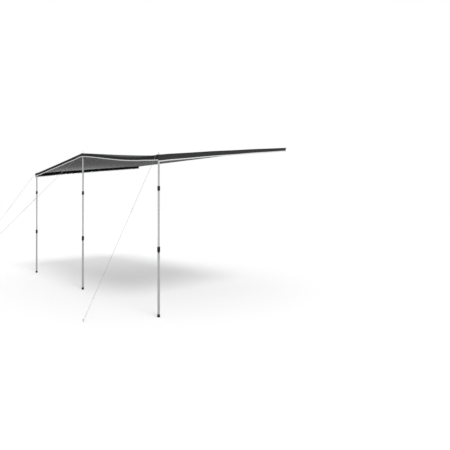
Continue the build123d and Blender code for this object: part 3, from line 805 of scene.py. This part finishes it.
# Bindings. A pale grey woven tape folded over each valance's lower edge and sewn through near its rims; the
# seam draws the tape in.
binding_height = 0.014
binding_half = 0.0019
seam_below_rim = 0.0028
stitch_pitch = 0.0042
tape_thread = 0.0005
fold_steps = 7
tape_white = (0.76, 0.77, 0.78)
thread_white = (0.86, 0.86, 0.85, 1)
binding_material, tree, shader = new_material("binding_tape", roughness=0.7, sheen=0.15, specular=0.3)
place = tree.nodes.new("ShaderNodeUVMap")
split = node(tree, "ShaderNodeSeparateXYZ", Vector=place.outputs["UV"])
threads = use_group(tree, weave, Place=place.outputs["UV"], Thread=tape_thread)
marks = use_group(tree, soil, Scale=3.1, Amount=0.1)
row = use_group(
    tree, stitch, Along=split.outputs["X"], Across=split.outputs["Y"], Row=seam_below_rim, Pitch=stitch_pitch
)
# The weave's part of this shade is painted shade between the threads; the soil's part is dirt.
shade = maths(tree, "MULTIPLY", threads.outputs["Shade"], marks.outputs["Shade"])
tape_tone = dimmed(tree, tape_white, shade)
set_inputs(tree, shader, {"Base Color": mixed(tree, row.outputs["Mask"], tape_tone, thread_white)})
relief = maths(tree, "ADD", threads.outputs["Height"], row.outputs["Mask"])
raise_surface(tree, shader, relief, strength=0.5, distance=0.0003)

# The tape's section, as (outward, upward) points: down the outer ply, round the fold, up the inner ply.
round_fold = np.linspace(0, -np.pi, fold_steps)
outer_ply = np.array(
    [
        (binding_half * 0.86, binding_height),
        (binding_half, binding_height - 0.0008),
        (binding_half * 0.62, binding_height - seam_below_rim),
        (binding_half, binding_height - 0.0048),
        (binding_half * 1.06, binding_height * 0.45),
    ]
)
fold = np.stack([binding_half * np.cos(round_fold), binding_half * (1 + np.sin(round_fold))], -1)
section = np.vstack([outer_ply, fold, (outer_ply * (-1, 1))[::-1]])
gone_round = np.r_[0, np.linalg.norm(np.diff(np.vstack([section, section[:1]]), axis=0), axis=1).cumsum()]
for name, (lower, outward, gone) in lower_edges.items():
    grid = lower[:, None] + section[:, :1] * outward + section[:, 1:] * up
    places = np.stack(np.meshgrid(gone, gone_round, indexing="ij"), -1)
    binding = make_surface(f"{name}_binding_tape", grid, places, ring=True)
    binding.data.materials.append(binding_material)
    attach(binding, "canopy")
    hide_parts(f"{name}_binding")
    flat = (float(gone[-1]), float(strips[name][2].mean()))

# Keder. A round PVC bead that is held in a groove, wrapped in a coated tape whose two plies are sewn
# together into a flange under the roof's rear hem.
tape_low, tape_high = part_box("keder_tape")
tape_radius = tape_high.z
tape_wall = 0.0007
flange_half = 0.00078
neck_reach = 1.3  # in the wrap's radii, where the flange's plies part to go round the bead
wrap_steps = 33
ply_steps = 6
tape_steps = 160
neck = math.asin(flange_half / tape_radius)
bend = np.linspace(np.pi - neck, -np.pi + neck, wrap_steps)
top_ply = np.linspace(-flange_edge, -tape_radius * neck_reach, ply_steps)
flange_z = np.full(top_ply.shape, flange_half)
profile_y = np.r_[top_ply, tape_radius * np.cos(bend), top_ply[::-1]]
profile_z = np.r_[flange_z, tape_radius * np.sin(bend), -flange_z]
tape_x = np.linspace(tape_high.x, tape_low.x, tape_steps)
grid = np.stack(np.broadcast_arrays(tape_x[:, None], profile_y, profile_z), -1)
gone_round = np.r_[0, np.hypot(np.diff(profile_y), np.diff(profile_z)).cumsum()]
tape = make_surface("keder_wrap", grid, np.stack(np.meshgrid(-tape_x, gone_round, indexing="ij"), -1))
give_wall(tape, tape_wall)
tape_cloth = cloth_material(
    "keder_tape", colour=(0.42, 0.43, 0.44), roughness=0.5, thread=0.0006, relief=0.4, soil_amount=0.1
)
tape.data.materials.append(tape_cloth)
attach(tape, "canopy")
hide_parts("keder_tape")

# Eyelet patches. An oblong of the cloth with round corners, doubled under each eyelet and sewn round its
# rim to spread the spike's pull.
patch_size = (0.044, 0.066)
patch_shift = 0.011
patch_corner = 0.008
patch_thick = 0.0011
patch_points = 96
patch_gap = 0.0005  # between it and the roof
patch_pitch = 0.003  # from point to point round its rim, for the weave
patch_cloth = cloth_material(
    "patch_cloth", colour=(0.020, 0.020, 0.022), roughness=0.7, thread=0.0006, relief=0.5, soil_amount=0.1
)


def seat_axes(name):
    """The eyelet's middle on the roof's top, its across and uphill directions and its upward one."""
    x, y = eyelet_places[name]
    fall = float(front_edge(np.array(x))) - roof_top
    slope = math.atan2(-fall, front_reach - flange_edge)
    centre = np.array((x, y, roof_top + fall * (-y - flange_edge) / (front_reach - flange_edge)))
    return (
        centre,
        np.array((1.0, 0.0, 0.0)),
        np.array((0.0, math.cos(slope), math.sin(slope))),
        np.array((0.0, -math.sin(slope), math.cos(slope))),
    )


patch_turn = np.linspace(0, 2 * np.pi, patch_points, endpoint=False)
half_x = patch_size[0] / 2 - patch_corner
half_y = patch_size[1] / 2 - patch_corner
corner_x = np.sign(np.cos(patch_turn)) * half_x
corner_y = np.sign(np.sin(patch_turn)) * half_y
ray = np.stack([np.cos(patch_turn), np.sin(patch_turn)], -1)
half_size = np.array(patch_size) / 2
reach = np.min(half_size / np.maximum(abs(ray), 1e-9), 1)
flat_rim = ray * reach[:, None]
in_corner = (abs(flat_rim[:, 0]) > half_x) & (abs(flat_rim[:, 1]) > half_y)
centre_dot = ray[:, 0] * corner_x + ray[:, 1] * corner_y
reach_squared = centre_dot**2 - corner_x**2 - corner_y**2 + patch_corner**2
round_reach = centre_dot + np.sqrt(np.maximum(reach_squared, 0))
rim_points = np.where(in_corner[:, None], ray * round_reach[:, None], flat_rim) + (0, patch_shift)
inner = eyelet_hole * ray
steps = np.array((0.0, 0.2, 0.45, 0.7, 0.88, 0.94, 1.0))[:, None, None]
sunk = np.array((0, 0, 0, 0, 0.0001, 0.0004, 0.0001))[:, None, None]  # the seam near the rim draws it in
flat = inner + (rim_points - inner) * steps
gone = patch_pitch * np.arange(patch_points + 1)
depth = np.array((0.02, 0.016, 0.011, 0.006, 0.0024, 0.0012, 0.0))  # each step's way from the rim
patch_places = np.stack(np.meshgrid(depth, gone, indexing="ij"), -1)
for name in eyelet_places:
    centre, across, uphill, lid = seat_axes(name)
    grid = centre + flat[..., :1] * across + flat[..., 1:] * uphill - lid * (roof_thick + patch_gap + sunk)
    patch = make_surface(f"{name}_patch", grid, patch_places, ring=True)
    give_wall(patch, patch_thick)
    patch.data.materials.append(patch_cloth)
    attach(patch, "canopy")
    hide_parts("eyelet_patches")

# Eyelets. Nickelled brass, set in a press: a barrel through roof and patch, with a flange above and one
# below that are rolled over and pressed flat on the cloth.
eyelet_bore = 0.0085
eyelet_flange = 0.014
above = 0.0013
below = 0.0046
eyelet_section = np.array(
    [
        (eyelet_bore + 0.0001, above - 0.0010),
        (eyelet_bore + 0.0006, above - 0.0002),
        (eyelet_bore + 0.0016, above + 0.0001),
        (eyelet_flange - 0.0022, above - 0.0003),
        (eyelet_flange - 0.0008, above - 0.0006),
        (eyelet_flange, above - 0.0011),
        (eyelet_flange - 0.0002, above - 0.0013),
        (eyelet_flange - 0.0010, above - 0.0012),
        (eyelet_bore + 0.0010, above - 0.0010),
        (eyelet_bore + 0.0009, -below + 0.0010),
        (eyelet_flange - 0.0010, -below + 0.0012),
        (eyelet_flange - 0.0002, -below + 0.0013),
        (eyelet_flange, -below + 0.0011),
        (eyelet_flange - 0.0008, -below + 0.0006),
        (eyelet_flange - 0.0022, -below + 0.0003),
        (eyelet_bore + 0.0016, -below),
        (eyelet_bore + 0.0006, -below + 0.0002),
        (eyelet_bore + 0.0001, -below + 0.0010),
    ]
)

# Fine wear: small scratches and dulled patches on metal and plastic, on Object coordinates.
wear, enter, leave = new_group(
    "fine_wear",
    {"Scale": ("NodeSocketFloat", 60.0), "Stretch": ("NodeSocketVector", (1, 1, 1))},
    {"Tone": "NodeSocketFloat", "Height": "NodeSocketFloat"},
)
where = wear.nodes.new("ShaderNodeTexCoord").outputs["Object"]
drawn = node(wear, "ShaderNodeVectorMath", i0=where, i1=enter.outputs["Stretch"])
drawn.operation = "MULTIPLY"
lines = node(wear, "ShaderNodeTexNoise", Vector=drawn.outputs[0], Scale=enter.outputs["Scale"], Detail=6.0)
spread = node(wear, "ShaderNodeMapRange", Value=lines.outputs["Fac"], From_Min=0.3, From_Max=0.7)
set_inputs(wear, leave, {"Tone": spread.outputs["Result"], "Height": lines.outputs["Fac"]})


def worn_material(
    name, light, dark, rough, scale, metallic=0.0, stretch=(1, 1, 1), relief=0.1, depth=0.0002, specular=0.5
):
    """A hard finish: two tones mixed by the wear, a roughness range that follows it, and a faint relief."""
    material, tree, shader = new_material(name, metallic=metallic, specular=specular)
    marks = use_group(tree, wear, Scale=scale, Stretch=stretch)
    set_inputs(tree, shader, {"Base Color": mixed(tree, marks.outputs["Tone"], (*dark, 1), (*light, 1))})
    gloss = node(tree, "ShaderNodeMapRange", Value=marks.outputs["Tone"], To_Min=rough[1], To_Max=rough[0])
    set_inputs(tree, shader, {"Roughness": gloss.outputs["Result"]})
    raise_surface(tree, shader, marks.outputs["Height"], relief, depth)
    return material


nickel = worn_material(
    "nickel",
    light=(0.66, 0.65, 0.62),
    dark=(0.52, 0.51, 0.48),
    rough=(0.2, 0.38),
    scale=260.0,
    metallic=1.0,
)
eyelet_sides = 48
spin = np.linspace(0, 2 * np.pi, eyelet_sides, endpoint=False)[:, None, None]
for name in eyelet_places:
    centre, across, uphill, lid = seat_axes(name)
    spokes = np.cos(spin) * across + np.sin(spin) * uphill
    grid = centre + eyelet_section[:, :1] * spokes + eyelet_section[:, 1:] * lid
    eyelet = make_surface(f"{name}_eyelet", grid, ring=True, loop=True)
    eyelet.data.materials.append(nickel)
    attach(eyelet, "canopy")
    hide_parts("eyelets")


def dress(nodes, material):
    """Gives CAD nodes a material in place of the one they came with."""
    for node_name in nodes:
        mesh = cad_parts[node_name].data
        mesh.materials.clear()
        mesh.materials.append(material)


# The keder's bead is plain white PVC rod.
bead_plastic = worn_material(
    "bead_plastic", light=(0.78, 0.78, 0.76), dark=(0.70, 0.70, 0.68), rough=(0.35, 0.5), scale=90.0
)
dress(["keder_bead"], bead_plastic)

# Poles. Drawn and anodised aluminium tube in three sections, each a size larger than the one above it. A
# plug at the top holds a turned steel spike, and a plastic bush slides in the section below.
pole_names = ("near", "mid", "far")
draw_marks = (1, 1, 0.012)
upper_metal = worn_material(
    "upper_tube",
    light=(0.47, 0.48, 0.49),
    dark=(0.38, 0.39, 0.40),
    rough=(0.28, 0.42),
    scale=240.0,
    metallic=1.0,
    stretch=draw_marks,
    relief=0.15,
    depth=0.0001,
)
lower_metal = worn_material(
    "lower_tube",
    light=(0.41, 0.42, 0.43),
    dark=(0.34, 0.35, 0.36),
    rough=(0.3, 0.45),
    scale=240.0,
    metallic=1.0,
    stretch=draw_marks,
    relief=0.15,
    depth=0.0001,
)
spike_steel = worn_material(
    "spike_steel",
    light=(0.58, 0.58, 0.58),
    dark=(0.42, 0.42, 0.42),
    rough=(0.25, 0.45),
    scale=300.0,
    metallic=1.0,
)
bush_plastic = worn_material(
    "bush_plastic", light=(0.05, 0.05, 0.05), dark=(0.03, 0.03, 0.03), rough=(0.45, 0.6), scale=200.0
)
for name in pole_names:
    dress([f"{name}_upper_tube", f"{name}_middle_tube"], upper_metal)
    dress([f"{name}_lower_tube"], lower_metal)
    dress([f"{name}_spike_plug"], spike_steel)
    dress([f"{name}_upper_bush", f"{name}_middle_bush"], bush_plastic)

# Clamps. Black glass-filled nylon collars with a lever on a steel pin. The lever's cam grips the tube that
# slides in the collar.
clamp_plastic = worn_material(
    "clamp_plastic",
    light=(0.008, 0.008, 0.009),
    dark=(0.004, 0.004, 0.005),
    rough=(0.45, 0.65),
    scale=420.0,
    relief=0.3,
    specular=0.2,
)
pin_steel = worn_material(
    "pin_steel",
    light=(0.60, 0.60, 0.60),
    dark=(0.45, 0.45, 0.45),
    rough=(0.3, 0.45),
    scale=400.0,
    metallic=1.0,
)
for name in pole_names:
    for level in ("upper", "lower"):
        dress([f"{name}_{level}_clamp", f"{name}_{level}_lever"], clamp_plastic)
        dress([f"{name}_{level}_lever_pin"], pin_steel)

# Feet, runners and pegs. The feet are moulded rubber cups pushed over the lowest tubes, the runners hard
# plastic bars threaded on the ropes, and the pegs bent from galvanised wire.
foot_rubber = worn_material(
    "foot_rubber",
    light=(0.014, 0.014, 0.013),
    dark=(0.008, 0.008, 0.008),
    rough=(0.65, 0.85),
    scale=150.0,
    relief=0.4,
    specular=0.25,
)
runner_plastic = worn_material(
    "runner_plastic",
    light=(0.045, 0.045, 0.047),
    dark=(0.02, 0.02, 0.022),
    rough=(0.35, 0.5),
    scale=300.0,
)
peg_steel = worn_material(
    "peg_steel",
    light=(0.56, 0.57, 0.58),
    dark=(0.40, 0.41, 0.42),
    rough=(0.35, 0.6),
    scale=180.0,
    metallic=1.0,
    relief=0.3,
)
for name in pole_names:
    dress([f"{name}_foot"], foot_rubber)
    dress([f"{name}_runner"], runner_plastic)
dress(["ground_pegs"], peg_steel)
